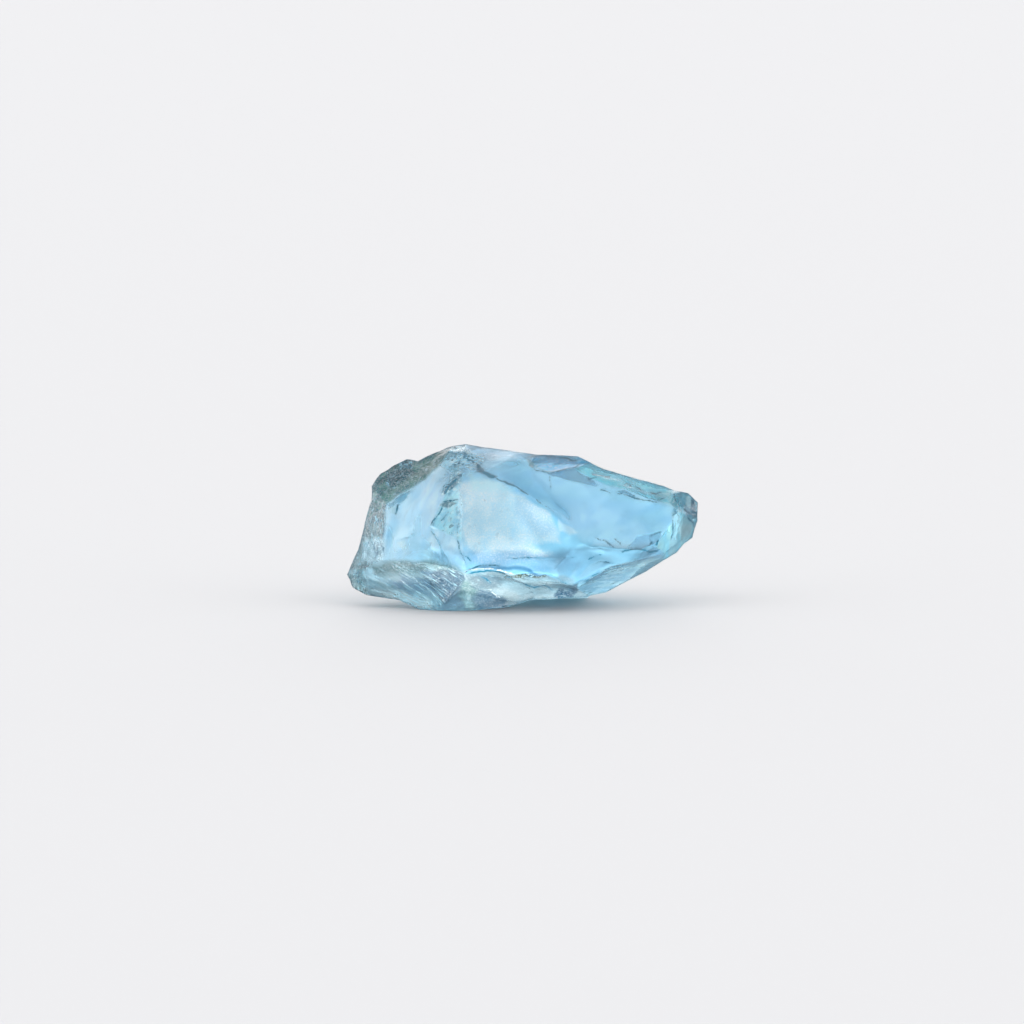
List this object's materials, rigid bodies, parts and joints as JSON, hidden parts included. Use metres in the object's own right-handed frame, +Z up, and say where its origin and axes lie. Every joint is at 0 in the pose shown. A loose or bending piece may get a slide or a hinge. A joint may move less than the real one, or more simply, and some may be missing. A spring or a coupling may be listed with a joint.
{
  "type": "raw apatite crystal fragment",
  "caption": "Rough, see-through pale blue apatite fragment, broken on every side, that rests on a small flat underside.",
  "frame": {"origin": "middle of the stone's box, at the height of the surface that it rests on", "axes": "+Z up, +X along the stone towards its small rounded nub, -Y out of its better face"},
  "size_m": [0.011, 0.0046, 0.005],
  "materials": {
    "apatite": "clear blue apatite, glassy on its fresh breaks, frosted on one face and dull on its weathered corner"
  },
  "bodies": {
    "root": {"apatite": "apatite"}
  },
  "joints": []
}
